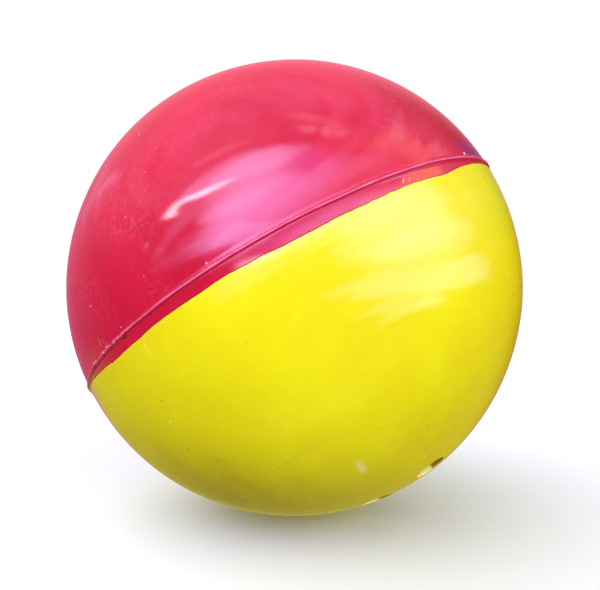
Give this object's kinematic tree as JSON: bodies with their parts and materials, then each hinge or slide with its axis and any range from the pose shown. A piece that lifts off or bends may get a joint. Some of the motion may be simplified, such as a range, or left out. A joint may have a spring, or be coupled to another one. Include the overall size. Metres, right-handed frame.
{
  "type": "juggling ball",
  "caption": "Hollow two-colour rubber ball with a raised mould line, sound holes at one pole and a jingle bell rolling loose inside.",
  "frame": {"origin": "centre of the ball", "axes": "+Z along the axis through both poles, square to the mould line, red half up and yellow half with the sound holes down; -Y is the side the colour edge and the mould line were measured on"},
  "size_m": [0.1062, 0.1062, 0.105],
  "materials": {
    "red_rubber": "glossy",
    "yellow_rubber": "glossy",
    "bell_plate": "bright plated",
    "bell_wire": "satin",
    "pellet_steel": "dark tumbled"
  },
  "bodies": {
    "ball": {"red_half_shell": "red_rubber", "yellow_half_shell": "yellow_rubber"},
    "bell": {"bell_upper_cup": "bell_plate", "bell_lower_cup": "bell_plate", "bell_loop": "bell_wire"},
    "pellet": {"bell_pellet": "pellet_steel"}
  },
  "joints": [
    {"name": "bell_roll", "type": "hinge", "parent": "ball", "child": "bell", "pos_m": [0, 0, 0], "axis": [0, 1, 0], "continuous": true},
    {"name": "pellet_roll", "type": "hinge", "parent": "bell", "child": "pellet", "pos_m": [0, 0, -0.0368], "axis": [0, 1, 0], "range_deg": [-125, 125]}
  ]
}
